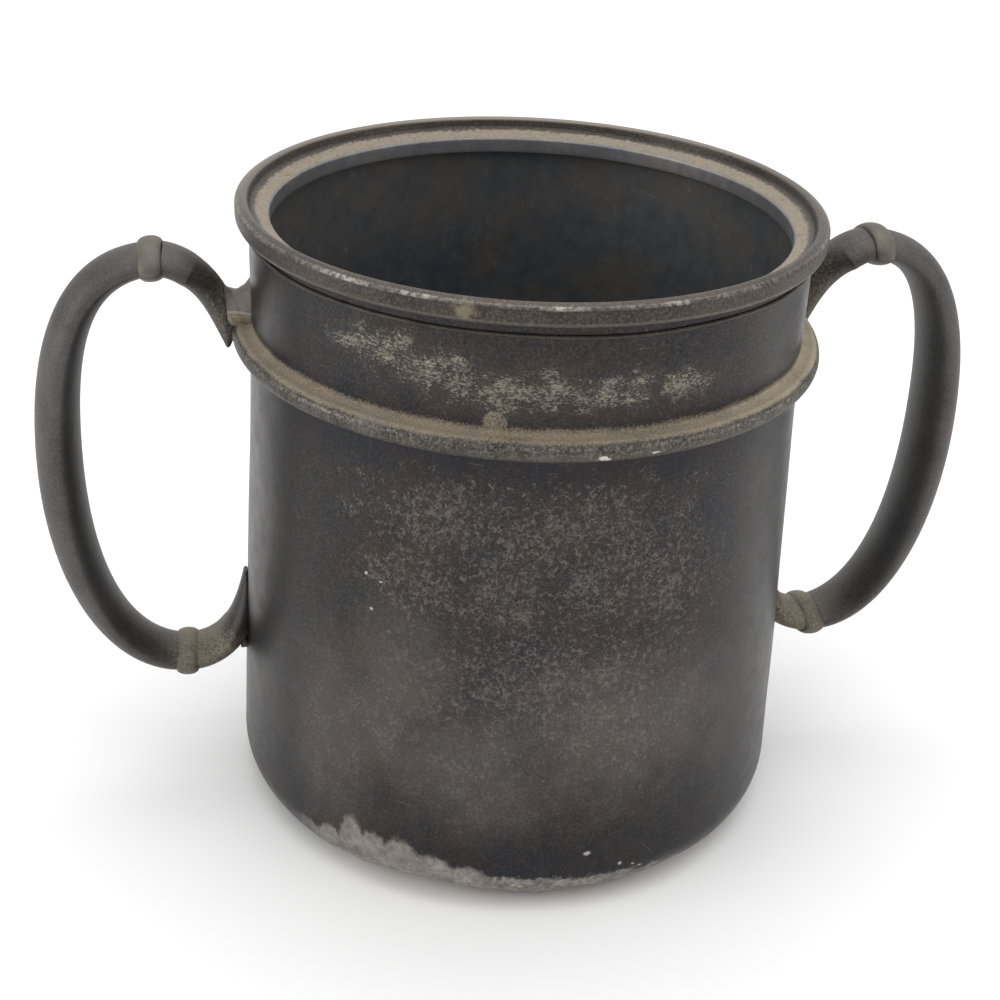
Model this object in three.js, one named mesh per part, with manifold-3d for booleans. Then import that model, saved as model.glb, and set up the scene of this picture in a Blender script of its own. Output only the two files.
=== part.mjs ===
// Two-handled cylindrical metal vessel: a soldered sheet-metal cup with a cast
// rim moulding, an applied girdle ring and two looped side handles.
// Millimetres, +Z up. The origin is the centre of the base, on the surface the
// vessel stands on, and the handles lie along the X axis.

import * as THREE from 'three';
import * as BufferGeometryUtils from 'three/addons/utils/BufferGeometryUtils.js';
import Module from 'manifold-3d';

const wasm = await Module();
wasm.setup();

// ---------------------------------------------------------------- dimensions

const CLEARANCE = 0.3;         // gap left between pieces that touch
const ROUND_STEPS = 72;        // facets round the vessel

// sheet-metal cup
const WALL_RADIUS = 68;        // outside radius of the neck and girdle zone
const WALL_THICKNESS = 1.5;
const BASE_FLARE = 4;          // how much wider the foot is than the neck
const CORNER_RADIUS = 11.5;    // turned-in corner between wall and base
const RIM_TOP_Z = 160.3;       // overall height of the cup
const WALL_END_ANGLE = 43;     // degrees round the corner where the wall stops
const BEAD_END_ANGLE = 78;     // degrees round the corner where the solder stops

// base disc
const BASE_THICKNESS = 1.5;
const BASE_DOME_RADIUS = 50;   // the flat resting rim lies outside this radius
const BASE_DOME_RISE = 1.2;

// rim moulding
const RIM_OVERHANG = 3.2;      // how far the bead stands out from the neck
const RIM_FACE_HEIGHT = 4.4;   // flat outer face of the bead
const RIM_CROWN = 0.8;         // rounding above the outer edge of the bead
const RIM_BEAD_WIDTH = 3.7;    // from the outer face in to the crease
const RIM_CREASE_DEPTH = 2.5;  // crease below the crown
const RIM_COVE_WIDTH = 4.5;    // sloping inner face
const RIM_COVE_DROP = 1.7;
const RIM_SKIRT_HEIGHT = 4.2;  // inner band below the cove
const RIM_CHANNEL_ROOF = 1.6;  // metal between the crease and the wall's slot

// solder lines
const RIM_SOLDER_DROP = 2.6;   // below the underside of the bead
const SOLDER_LINE_HEIGHT = 0.9;
const SOLDER_LINE_PROUD = 0.8;

// girdle ring
const GIRDLE_Z = 126.7;        // mid-height of the ring
const GIRDLE_PROUD = 4.7;
const GIRDLE_HEIGHT = 5.2;

// handles: side view of the bar's centreline
const HANDLE_REACH = 47.9;     // middle of the bar at its widest, out from the neck
const HANDLE_WIDEST_Z = 93.2;
const HANDLE_SETBACK = 2.5;    // degrees each handle sits round towards the back
const UPPER_KNUCKLE_OUT = 23;  // knuckle centre, out from the neck
const UPPER_KNUCKLE_RISE = 18.3; // knuckle centre, above the girdle
const LOWER_KNUCKLE_OUT = 18.8;
const LOWER_KNUCKLE_Z = 34;
const TAIL_TIP_Z = 59;         // upper end of the tail on the wall
const TONGUE_TIP_DROP = 4.3;   // tongue tip, below the middle of the girdle
const BOW_FULLNESS_TOP = 0.66;
const BOW_FULLNESS_BOTTOM = 0.6;
const TOP_SLOPE = 0.1;         // fall of the bar across the upper knuckle

// handles: section of the bar
const BAR_THICKNESS = 7.4;     // in the plane of the loop, at the knuckles
const BAR_THICKNESS_BOW = 11.2; // in the middle of the bow
const BAR_WIDTH = 16.2;        // across the loop, at the knuckles
const BAR_WIDTH_BOW = 20;
const RIDGE_SHARPNESS = 0.3;   // 0 is an oval section, 1 comes to a sharp side ridge
const RIDGE_OFFSET = 0.08;     // side ridge inside the middle, share of the thickness
const TIP_THICKNESS = 1.2;
const TIP_WIDTH = 3;
const KNUCKLE_LENGTH = 5.6;
const KNUCKLE_PROUD = 1.2;
const SECTION_STEPS = 16;      // facets round the bar
const BOW_STEPS = 30;
const BRACKET_STEPS = 14;
const KNUCKLE_STEPS = 6;

// how a bracket thins from its knuckle to its tip: the share of its length where
// it starts, and how the thickness and the width fall off after that
const UPPER_TAPER = { start: 0.23, thickness: 3.5, width: 0.7 };
const LOWER_TAPER = { start: 0.39, thickness: 1.7, width: 0.7 };

// handle solder
const UPPER_SOLDER_HEIGHT = 12.5; // above the girdle ring
const UPPER_SOLDER_WIDTH = 8;
const LOWER_SOLDER_WIDTH = 8;

// ----------------------------------------------------------------- materials

const metal = (color, roughness, metalness) =>
  new THREE.MeshStandardMaterial({ color, roughness, metalness });

const tarnishedSheet = metal(0x47433f, 0.48, 0.8);
const rimMetal = metal(0x5e5750, 0.5, 0.75);
const girdleMetal = metal(0x6b6255, 0.6, 0.65);
const handleMetal = metal(0x66605a, 0.5, 0.7);
const knuckleMetal = metal(0x6f6962, 0.48, 0.7);
const solder = metal(0x8c867c, 0.55, 0.7);

// ------------------------------------------------------------------- helpers

const radians = THREE.MathUtils.degToRad;
const lerp = THREE.MathUtils.lerp;

// Outside radius of the plain wall at a height: straight above the girdle,
// widening evenly below it.
function wallRadiusAt(z) {
  const below = Math.max(0, GIRDLE_Z - z) / (GIRDLE_Z - CORNER_RADIUS);
  return WALL_RADIUS + BASE_FLARE * below;
}

const cornerCentre = wallRadiusAt(CORNER_RADIUS) - CORNER_RADIUS;

// Points on an arc concentric with the corner, from one angle to another,
// where 0 degrees is level outwards and 90 is straight down.
function cornerArc(radius, from, to, steps) {
  const points = [];
  for (let i = 0; i <= steps; i++) {
    const a = radians(lerp(from, to, i / steps));
    points.push([cornerCentre + radius * Math.cos(a), CORNER_RADIUS - radius * Math.sin(a)]);
  }
  return points;
}

// The angle on the corner that a length of arc covers, in degrees.
const cornerAngle = (length) => THREE.MathUtils.radToDeg(length / CORNER_RADIUS);

// Closes a profile of [radius, height] points and turns it round the Z axis.
function turned(profile) {
  const points = profile.map(([r, z]) => new THREE.Vector2(r, z));
  if (THREE.ShapeUtils.area(points) < 0) points.reverse();
  if (points[0].x > 0) points.push(points[0].clone());
  const geometry = new THREE.LatheGeometry(points, ROUND_STEPS);
  geometry.rotateX(Math.PI / 2);
  return geometry;
}

// Merged, position-only copy of a geometry as a manifold solid.
function toSolid(geometry) {
  const plain = geometry.clone();
  plain.deleteAttribute('normal');
  plain.deleteAttribute('uv');
  const merged = BufferGeometryUtils.mergeVertices(plain, 1e-4);
  const mesh = new wasm.Mesh({
    numProp: 3,
    vertProperties: new Float32Array(merged.attributes.position.array),
    triVerts: new Uint32Array(merged.index.array),
  });
  return new wasm.Manifold(mesh);
}

function toGeometry(solid) {
  const mesh = solid.getMesh();
  const geometry = new THREE.BufferGeometry();
  geometry.setAttribute('position', new THREE.BufferAttribute(mesh.vertProperties, 3));
  geometry.setIndex(new THREE.BufferAttribute(mesh.triVerts, 1));
  return geometry;
}

function named(name, geometry, material) {
  const mesh = new THREE.Mesh(geometry, material);
  mesh.name = name;
  return mesh;
}

// ------------------------------------------------------------------ the cup

const wallTopZ = RIM_TOP_Z - RIM_CREASE_DEPTH - RIM_CHANNEL_ROOF - CLEARANCE;
const beadGap = cornerAngle(CLEARANCE / 2);

function bodyWall() {
  const inside = WALL_THICKNESS;
  return turned([
    [WALL_RADIUS, wallTopZ],
    [WALL_RADIUS, GIRDLE_Z],
    ...cornerArc(CORNER_RADIUS, 0, WALL_END_ANGLE - beadGap, 5),
    ...cornerArc(CORNER_RADIUS - inside, WALL_END_ANGLE - beadGap, 0, 5),
    [WALL_RADIUS - inside, GIRDLE_Z],
    [WALL_RADIUS - inside, wallTopZ],
  ]);
}

// Solder round the lower half of the corner, joining the wall to the disc.
function baseSolderBead() {
  const from = WALL_END_ANGLE + beadGap;
  const to = BEAD_END_ANGLE;
  return turned([
    ...cornerArc(CORNER_RADIUS, from, to, 4),
    ...cornerArc(CORNER_RADIUS - WALL_THICKNESS, to, from, 4),
  ]);
}

// Disc with a flat resting rim and a shallow raised middle.
function basePlate() {
  const inner = cornerArc(CORNER_RADIUS - WALL_THICKNESS, BEAD_END_ANGLE, BEAD_END_ANGLE, 1)[0][0];
  const edge = inner - CLEARANCE;
  const top = BASE_THICKNESS;
  const rise = BASE_DOME_RISE;
  return turned([
    [0, rise],
    [BASE_DOME_RADIUS - 6, rise],
    [BASE_DOME_RADIUS, 0],
    [edge, 0],
    [edge, top],
    [BASE_DOME_RADIUS, top],
    [BASE_DOME_RADIUS - 6, top + rise],
    [0, top + rise],
  ]);
}

// ------------------------------------------------------- rim and its solder

const beadOuter = WALL_RADIUS + RIM_OVERHANG;
const creaseRadius = beadOuter - RIM_BEAD_WIDTH;
const openingRadius = creaseRadius - RIM_COVE_WIDTH;
const faceTopZ = RIM_TOP_Z - RIM_CROWN;
const faceBottomZ = faceTopZ - RIM_FACE_HEIGHT;
const creaseZ = RIM_TOP_Z - RIM_CREASE_DEPTH;
const coveZ = creaseZ - RIM_COVE_DROP;

function rimRing() {
  const slotOuter = WALL_RADIUS + CLEARANCE;
  const slotInner = WALL_RADIUS - WALL_THICKNESS - CLEARANCE;
  const slotTop = wallTopZ + CLEARANCE;
  const skirtZ = coveZ - RIM_SKIRT_HEIGHT;
  return turned([
    [beadOuter - 0.5, faceBottomZ],
    [beadOuter, faceBottomZ + 0.9],
    [beadOuter, faceTopZ - 0.6],
    [beadOuter - 0.4, faceTopZ],
    [beadOuter - 1.9, RIM_TOP_Z],
    [beadOuter - 3.0, RIM_TOP_Z - 0.5],
    [creaseRadius, creaseZ],
    [openingRadius + 0.4, coveZ],
    [openingRadius, coveZ - 0.5],
    [openingRadius, skirtZ],
    [slotInner, skirtZ],
    [slotInner, slotTop],
    [slotOuter, slotTop],
    [slotOuter, faceBottomZ + 0.2],
  ]);
}

// A thin line of solder standing on the wall, with its top at a given height.
function solderLine(topZ) {
  const middle = topZ - SOLDER_LINE_HEIGHT / 2;
  const low = topZ - SOLDER_LINE_HEIGHT;
  return turned([
    [wallRadiusAt(topZ) + CLEARANCE, topZ],
    [wallRadiusAt(low) + CLEARANCE, low],
    [wallRadiusAt(middle) + SOLDER_LINE_PROUD, middle - 0.2],
    [wallRadiusAt(middle) + SOLDER_LINE_PROUD, middle + 0.2],
  ]);
}

// ------------------------------------------------------------------- girdle

const girdleTopZ = GIRDLE_Z + GIRDLE_HEIGHT / 2;
const girdleBottomZ = GIRDLE_Z - GIRDLE_HEIGHT / 2;
const girdleOuter = WALL_RADIUS + GIRDLE_PROUD;

// Ring of rounded section, its outer half an arc and its back on the wall.
// `grow` thickens it, for cutting clearance in what lies against it.
function girdleRing(grow = 0) {
  const back = WALL_RADIUS + CLEARANCE - grow;
  const half = GIRDLE_HEIGHT / 2 + grow;
  const nose = GIRDLE_PROUD * 0.55 + grow;
  const noseCentre = girdleOuter + grow - nose;
  const profile = [[back, GIRDLE_Z - half]];
  for (let i = 0; i <= 6; i++) {
    const a = radians(-90 + 30 * i);
    profile.push([noseCentre + nose * Math.cos(a), GIRDLE_Z + half * Math.sin(a)]);
  }
  profile.push([back, GIRDLE_Z + half]);
  return turned(profile);
}

// ------------------------------------------------------------------ handles

// Places on the handle's centreline, which lies in the XZ plane. The tongue and
// tail hug the girdle and wall; the bow hangs between the two knuckles.
const at = (x, z) => new THREE.Vector3(x, 0, z);
const upperKnuckle = at(WALL_RADIUS + UPPER_KNUCKLE_OUT, GIRDLE_Z + UPPER_KNUCKLE_RISE);
const lowerKnuckle = at(WALL_RADIUS + LOWER_KNUCKLE_OUT, LOWER_KNUCKLE_Z);
const widest = at(WALL_RADIUS + HANDLE_REACH, HANDLE_WIDEST_Z);
const tongueTip = at(girdleOuter + CLEARANCE + TIP_THICKNESS / 2, GIRDLE_Z - TONGUE_TIP_DROP);
const tailTip = at(wallRadiusAt(TAIL_TIP_Z) + CLEARANCE + TIP_THICKNESS / 2, TAIL_TIP_Z);

// One line from the tongue tip, over the upper knuckle, round the bow and the
// lower knuckle, to the tail tip.
function handleLine() {
  const outTop = (widest.x - upperKnuckle.x) * BOW_FULLNESS_TOP;
  const upTop = (upperKnuckle.z - widest.z) * BOW_FULLNESS_TOP;
  const outLow = (widest.x - lowerKnuckle.x) * BOW_FULLNESS_BOTTOM;
  const downLow = (widest.z - lowerKnuckle.z) * BOW_FULLNESS_BOTTOM;
  const path = new THREE.CurvePath();
  path.add(new THREE.CubicBezierCurve3(
    tongueTip,
    at(tongueTip.x - 0.3, tongueTip.z + 15.4),
    at(upperKnuckle.x - 6.8, upperKnuckle.z + 6.8 * TOP_SLOPE),
    upperKnuckle,
  ));
  path.add(new THREE.CubicBezierCurve3(
    upperKnuckle,
    at(upperKnuckle.x + outTop, upperKnuckle.z - outTop * TOP_SLOPE),
    at(widest.x, widest.z + upTop),
    widest,
  ));
  path.add(new THREE.CubicBezierCurve3(
    widest,
    at(widest.x, widest.z - downLow),
    at(lowerKnuckle.x + outLow, lowerKnuckle.z),
    lowerKnuckle,
  ));
  path.add(new THREE.CubicBezierCurve3(
    lowerKnuckle,
    at(lowerKnuckle.x - 5.8, lowerKnuckle.z),
    at(tailTip.x - 1.2, tailTip.z - 21),
    tailTip,
  ));
  return path;
}

const line = handleLine();
const [, atUpperKnuckle, , atLowerKnuckle] = [0, ...line.getCurveLengths()];
const lineLength = line.getLength();

// Height of the section's surface, out from its side ridges, at an angle round it.
function sectionRise(a) {
  const round = Math.abs(Math.sin(a));
  const rise = lerp(round, round * round, RIDGE_SHARPNESS);
  return Math.sin(a) >= 0 ? (0.5 + RIDGE_OFFSET) * rise : -(0.5 - RIDGE_OFFSET) * rise;
}

// Sweeps a pointed oval section along the handle's line, from one distance to
// another. sizeAt(s) gives the section's thickness in the loop's plane and its
// width along Y, at a share s of that stretch.
function sweptBar(from, to, steps, sizeAt) {
  const positions = [];
  for (let i = 0; i <= steps; i++) {
    const share = lerp(from, to, i / steps) / lineLength;
    const centre = line.getPoint(share);
    const along = line.getTangent(share);
    const out = new THREE.Vector3(-along.z, 0, along.x);
    const { thickness, width } = sizeAt(i / steps);
    for (let j = 0; j < SECTION_STEPS; j++) {
      const a = (2 * Math.PI * j) / SECTION_STEPS;
      const u = thickness * (sectionRise(a) - RIDGE_OFFSET);
      const v = (width / 2) * Math.cos(a);
      positions.push(centre.x + out.x * u, v, centre.z + out.z * u);
    }
  }
  const last = steps * SECTION_STEPS;
  const index = [];
  for (let i = 0; i < steps; i++) {
    for (let j = 0; j < SECTION_STEPS; j++) {
      const next = (j + 1) % SECTION_STEPS;
      const a = i * SECTION_STEPS + j;
      const b = i * SECTION_STEPS + next;
      index.push(a, b, a + SECTION_STEPS, b, b + SECTION_STEPS, a + SECTION_STEPS);
    }
  }
  for (let j = 1; j < SECTION_STEPS - 1; j++) {
    index.push(0, j + 1, j);
    index.push(last, last + j, last + j + 1);
  }
  const geometry = new THREE.BufferGeometry();
  geometry.setAttribute('position', new THREE.Float32BufferAttribute(positions, 3));
  geometry.setIndex(index);
  return geometry;
}

// Section sizes. The bow swells towards its middle, and a bracket thins from
// the knuckle to its tip.
function bowSize(s) {
  const swell = Math.sin(Math.PI * s);
  return {
    thickness: lerp(BAR_THICKNESS, BAR_THICKNESS_BOW, swell),
    width: lerp(BAR_WIDTH, BAR_WIDTH_BOW, swell),
  };
}

function bracketSize(s, taper, grow = 0) {
  const fall = Math.max(0, s - taper.start) / (1 - taper.start);
  return {
    thickness: lerp(BAR_THICKNESS, TIP_THICKNESS, fall ** taper.thickness) + 2 * grow,
    width: lerp(BAR_WIDTH, TIP_WIDTH, fall ** taper.width) + 2 * grow,
  };
}

function knuckleSize(s) {
  const proud = KNUCKLE_PROUD * (0.2 + 0.8 * Math.sqrt(1 - (2 * s - 1) ** 2));
  return {
    thickness: BAR_THICKNESS + 2 * proud,
    width: BAR_WIDTH + 2 * proud,
  };
}

// Everything of the cup that a handle lies against, thickened by the clearance.
function cupKeepOut() {
  const low = 1;
  const inner = WALL_RADIUS - 20;
  const wall = toSolid(turned([
    [inner, low],
    [wallRadiusAt(low) + CLEARANCE, low],
    [WALL_RADIUS + CLEARANCE, GIRDLE_Z],
    [WALL_RADIUS + CLEARANCE, RIM_TOP_Z],
    [inner, RIM_TOP_Z],
  ]));
  return wall.add(toSolid(girdleRing(CLEARANCE)));
}

// Fillet of solder between the cup and a bar: a plate in the XZ plane, cut back
// to the clearance from both.
function solderPad(outline, width, bar, keepOut) {
  const shape = new THREE.Shape(outline.map(([x, z]) => new THREE.Vector2(x, z)));
  const plate = new THREE.ExtrudeGeometry(shape, { depth: width, bevelEnabled: false });
  plate.rotateX(Math.PI / 2);
  plate.translate(0, width / 2, 0);
  return toGeometry(toSolid(plate).subtract(keepOut).subtract(bar));
}

function handle(side, keepOut) {
  const group = new THREE.Group();
  const half = KNUCKLE_LENGTH / 2;
  const reach = half + CLEARANCE;

  const bow = sweptBar(atUpperKnuckle + reach, atLowerKnuckle - reach, BOW_STEPS, bowSize);
  group.add(named(`${side}_handle_bow`, bow, handleMetal));

  for (const [level, middle] of [['upper', atUpperKnuckle], ['lower', atLowerKnuckle]]) {
    const knuckle = sweptBar(middle - half, middle + half, KNUCKLE_STEPS, knuckleSize);
    group.add(named(`${side}_${level}_knuckle`, knuckle, knuckleMetal));
  }

  const grown = {};
  const brackets = [
    ['upper', 0, atUpperKnuckle - reach, (s) => 1 - s, UPPER_TAPER],
    ['lower', atLowerKnuckle + reach, lineLength, (s) => s, LOWER_TAPER],
  ];
  for (const [level, from, to, towardsTip, taper] of brackets) {
    const size = (s) => bracketSize(towardsTip(s), taper);
    const bar = toSolid(sweptBar(from, to, BRACKET_STEPS, size));
    group.add(named(`${side}_${level}_bracket`, toGeometry(bar.subtract(keepOut)), handleMetal));
    const thicker = (s) => bracketSize(towardsTip(s), taper, CLEARANCE);
    grown[level] = toSolid(sweptBar(from, to, BRACKET_STEPS, thicker));
  }

  const padTop = girdleTopZ + UPPER_SOLDER_HEIGHT;
  const upperPad = [
    [WALL_RADIUS - 1, girdleTopZ + 2],
    [WALL_RADIUS + 5, girdleTopZ + 2],
    [WALL_RADIUS + 5, padTop - 4],
    [WALL_RADIUS + 3, padTop],
    [WALL_RADIUS - 1, padTop + 2],
  ];
  const foot = wallRadiusAt(LOWER_KNUCKLE_Z);
  const lowerPad = [
    [foot - 1, LOWER_KNUCKLE_Z - 7],
    [foot + 1.5, LOWER_KNUCKLE_Z - 5],
    [foot + 5, LOWER_KNUCKLE_Z + 1],
    [foot - 1, LOWER_KNUCKLE_Z + 3],
  ];
  const pads = [
    ['upper', upperPad, UPPER_SOLDER_WIDTH],
    ['lower', lowerPad, LOWER_SOLDER_WIDTH],
  ];
  for (const [level, outline, width] of pads) {
    const pad = solderPad(outline, width, grown[level], keepOut);
    group.add(named(`${side}_${level}_solder`, pad, solder));
  }
  return group;
}

// ----------------------------------------------------------------- assembly

const group = new THREE.Group();
group.add(named('body_wall', bodyWall(), tarnishedSheet));
group.add(named('base_plate', basePlate(), tarnishedSheet));
group.add(named('base_solder_bead', baseSolderBead(), solder));
group.add(named('rim_ring', rimRing(), rimMetal));
group.add(named('rim_solder_line', solderLine(faceBottomZ - RIM_SOLDER_DROP), solder));
group.add(named('girdle_ring', girdleRing(), girdleMetal));
group.add(named('girdle_solder_line', solderLine(girdleBottomZ - CLEARANCE), solder));

const keepOut = cupKeepOut();
const rightHandle = handle('right', keepOut);
const leftHandle = handle('left', keepOut);
rightHandle.rotation.z = radians(HANDLE_SETBACK);
leftHandle.rotation.z = Math.PI - radians(HANDLE_SETBACK);
group.add(rightHandle, leftHandle);

export default group;
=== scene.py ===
"""Two-handled sheet-metal cup with a cast rim, a girdle ring and two looped handles.

Old, dark, tarnished metal with dust on the ledges, rubbed and pitted patches on
the front and rough pale solder along the foot. Metres, +Z up, the cup standing
on Z = 0 with its handles along X. Lengths named here are in millimetres.
"""

import math

import bpy
import numpy as np
from mathutils import Euler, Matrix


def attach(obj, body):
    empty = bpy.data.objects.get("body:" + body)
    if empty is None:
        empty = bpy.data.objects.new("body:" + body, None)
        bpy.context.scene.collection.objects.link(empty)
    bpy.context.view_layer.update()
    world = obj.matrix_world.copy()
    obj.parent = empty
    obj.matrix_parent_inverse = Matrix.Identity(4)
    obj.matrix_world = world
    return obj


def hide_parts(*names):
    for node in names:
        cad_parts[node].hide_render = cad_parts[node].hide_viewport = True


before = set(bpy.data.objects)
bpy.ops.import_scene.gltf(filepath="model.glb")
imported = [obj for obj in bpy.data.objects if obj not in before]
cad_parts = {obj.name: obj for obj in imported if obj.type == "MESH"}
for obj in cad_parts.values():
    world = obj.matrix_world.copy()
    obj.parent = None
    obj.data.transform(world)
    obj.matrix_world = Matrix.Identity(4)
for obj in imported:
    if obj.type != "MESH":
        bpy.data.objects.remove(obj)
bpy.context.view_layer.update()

# ---------------- dimensions

MM = 0.001
GAP = 0.3                      # between pieces that touch

NECK_RADIUS = 68.0
WALL = 1.5
WALL_MIDDLE = 70.0             # radius for lengths measured round the wall
GIRDLE_Z = 126.7
CORNER = 11.5                  # radius of the turned-in foot
FLARE = 4.0                    # the foot is this much wider than the neck
SOLDERED = 0.15                # soldered surfaces sink this far into each other
WALL_END = 43.0                # degrees round the corner
BEAD_END = 78.0
RIM_TOP = 160.3
WALL_TOP = 155.9

# knocks in the foot's corner: angle round the cup, half width, depth
DENTS = [(-136.0, 3.0, 0.7), (-122.5, 6.0, 1.7), (-112.5, 4.5, 1.3), (-103.5, 4.0, 0.7),
         (-88.0, 5.0, 0.3), (-66.0, 6.0, 0.4), (40.0, 9.0, 0.5)]

BASE_DOME_EDGE = (44, 50)      # the raised middle falls away between these radii
BASE_DOME_RISE = 1.2

RIM_RADIUS = 71.2
RIM_FACE_TOP = 159.5
RIM_FACE_FOOT = 155.1
RIM_CREASE = (67.5, 157.8)
RIM_OPENING = 63.0
RIM_BAND_TOP = 155.6
RIM_SKIRT_Z = 151.9

RIM_SEAM_TOP = 152.5

GIRDLE_PROUD = 4.7
GIRDLE_HALF = 2.6
GIRDLE_SEAM_TOP = 123.8
DUST_TOP_Z = 130.0             # dust lies this far up the neck
DUST_BEND = (NECK_RADIUS + 0.5, 129.0)   # and hollows towards this point

AROUND = 480                   # steps round the cup

# handle line, in the XZ plane
TONGUE_TIP = (73.6, 122.4)
UPPER_KNUCKLE = (91.0, 145.0)
WIDEST = (115.9, 93.2)
LOWER_KNUCKLE = (86.8, 34.0)
TAIL_TIP = (70.95, 59.0)
FULL_TOP = 0.66
FULL_BOTTOM = 0.6
TOP_SLOPE = 0.1
SETBACK = 2.5                  # degrees each handle sits round towards the back

# bar
BAR_THICK = 7.4
BAR_THICK_BOW = 11.2
BAR_WIDE = 16.2
BAR_WIDE_BOW = 20.0
TIP_THICK = 1.2
TIP_WIDE = 3.0
UPPER_TAPER = (0.23, 3.5, 0.7)   # where it starts, fall of thickness, fall of width
LOWER_TAPER = (0.39, 1.7, 0.7)
KNUCKLE_LONG = 5.6
KNUCKLE_PROUD = 1.2
RIDGE_OFFSET = 0.08            # side ridge, inside the middle, as a share of thickness
RIDGE_SHARP = 0.3              # 0 is an oval section, 1 is a lens with sharp sides
BAR_AROUND = 56                # steps round the section
LINE_STEPS = 400               # points on each of the handle line's four curves

# solder at the brackets: radii it spans, heights, half widths at cup and bracket, seed
UPPER_WEB = ((67.5, 76.0), (127.6, 137.0), (4.4, 2.8), 3)
LOWER_WEB = ((70.4, 72.8), (35.5, 39.0), (3.4, 2.6), 4)
WEB_STEPS = (26, 48)           # along and round

# camera and light
CAMERA_PLACE = (-0.086610, -0.390674, 0.289728)
CAMERA_TURN = (61.9872, -2.7422, -10.9217)
CAMERA_LENS = 61.947
CAMERA_SHIFT = -0.0134
LIGHT_AIM = (0, 0, 0.1)
# name, place, size and power
LIGHTS = [("top_light", (0.1, 0.2, 1.4), 1.6, 9),
          ("left_light", (-1.3, -0.2, 0.5), 0.8, 5),
          ("right_light", (1.2, -0.5, 0.45), 0.8, 2.5)]
SKY_BACK = (0.19, 0.98, 0.0)   # the way to the back of the sky
SKY_SIDES, SKY_ABOVE, SKY_BEHIND = 0.45, 1.0, 1.15   # its strengths
FLOOR_HALF = 4000.0
FLOOR_DROP = 0.05
FLOOR_TONE = 0.96


# ---------------- meshes

def add_object(name, data):
    piece = bpy.data.objects.new(name, data)
    bpy.context.scene.collection.objects.link(piece)
    return piece


def add_mesh(name, points, faces, materials, face_material=None, sharp=35.0):
    """A mesh object from points in millimetres and rows of corner numbers; four
    corners make a quad and a repeated last corner makes a triangle."""
    points = np.asarray(points, float) * MM
    faces = np.asarray(faces, np.int64)
    triangle = faces[:, 2] == faces[:, 3]
    sizes = np.where(triangle, 3, 4).astype(np.int32)
    keep = np.ones(faces.shape, bool)
    keep[triangle, 3] = False
    corners = faces[keep].astype(np.int32)
    starts = np.concatenate([[0], np.cumsum(sizes)[:-1]]).astype(np.int32)

    mesh = bpy.data.meshes.new(name)
    mesh.vertices.add(len(points))
    mesh.vertices.foreach_set("co", points.astype(np.float32).ravel())
    mesh.loops.add(len(corners))
    mesh.loops.foreach_set("vertex_index", corners)
    mesh.polygons.add(len(faces))
    mesh.polygons.foreach_set("loop_start", starts)
    mesh.polygons.foreach_set("use_smooth", np.ones(len(faces), bool))
    for material in materials:
        mesh.materials.append(material)
    if face_material is not None:
        mesh.polygons.foreach_set("material_index", face_material.astype(np.int32))
    mesh.update()
    mesh.validate()
    mesh.set_sharp_from_angle(angle=math.radians(sharp))
    return add_object(name, mesh)


def outward(points, faces):
    """The faces, turned over if the volume they enclose counts as negative."""
    a, b, c = points[faces[:, 0]], points[faces[:, 1]], points[faces[:, 2]]
    d = points[faces[:, 3]]
    volume = np.einsum("ij,ij->i", a, np.cross(b, c)).sum()
    volume += np.einsum("ij,ij->i", a, np.cross(c, d)).sum()
    if volume > 0:
        return faces
    turned = faces[:, ::-1].copy()
    triangle = faces[:, 2] == faces[:, 3]
    turned[triangle] = faces[triangle][:, [1, 0, 2, 2]]
    return turned


def add_piece(name, points, faces, materials, node, face_material=None, sharp=35.0):
    """A mesh that faces outwards and stands for one CAD node."""
    piece = add_mesh(name, points, outward(points, faces), materials, face_material, sharp)
    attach(piece, "root")
    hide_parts(node)


def grid_faces(rows, columns, wrap_rows):
    """Quads of a grid whose columns close on themselves."""
    i = np.arange(rows if wrap_rows else rows - 1)[:, None]
    j = np.arange(columns)[None, :]
    i2, j2 = (i + 1) % rows, (j + 1) % columns
    quads = [i * columns + j, i2 * columns + j, i2 * columns + j2, i * columns + j2]
    return np.stack([np.broadcast_to(q, (i.shape[0], columns)) for q in quads], -1).reshape(-1, 4)


def capped_faces(rows, columns):
    """Quads of closed rings, and a fan at each end to one further point: the
    first ring's is numbered after the rings' own points, the last ring's next."""
    j = np.arange(columns)
    nxt, tail = (j + 1) % columns, (rows - 1) * columns
    first, last = np.full_like(j, rows * columns), np.full_like(j, rows * columns + 1)
    return np.concatenate([grid_faces(rows, columns, False), np.stack([j, nxt, first, first], -1),
                           np.stack([tail + nxt, tail + j, last, last], -1)])


def curve(a, b, c, t):
    """Points on the parabola from a to c that heads for b at first."""
    return (1 - t) ** 2 * a + 2 * t * (1 - t) * b + t ** 2 * c


def rounded(corners, spacing, steps=5):
    """A closed outline through [x, y, rounding] corners. Each corner is a small
    parabola that starts and ends its rounding length away along the sides, and
    long sides get extra points."""
    pts = np.array([c[:2] for c in corners], float)
    cut = np.array([c[2] for c in corners], float)
    out = []
    for k, p in enumerate(pts):
        before, after = pts[k - 1] - p, pts[(k + 1) % len(pts)] - p
        a = p + before / np.linalg.norm(before) * cut[k]
        b = p + after / np.linalg.norm(after) * cut[k]
        out.append(curve(a, p, b, np.linspace(0, 1, steps)[:, None]))
        end = pts[(k + 1) % len(pts)] - after / np.linalg.norm(after) * cut[(k + 1) % len(pts)]
        extra = int(np.linalg.norm(end - b) // spacing)
        if extra:
            s = np.linspace(0, 1, extra + 2)[1:-1, None]
            out.append(b + s * (end - b))
    return np.concatenate(out)


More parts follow.
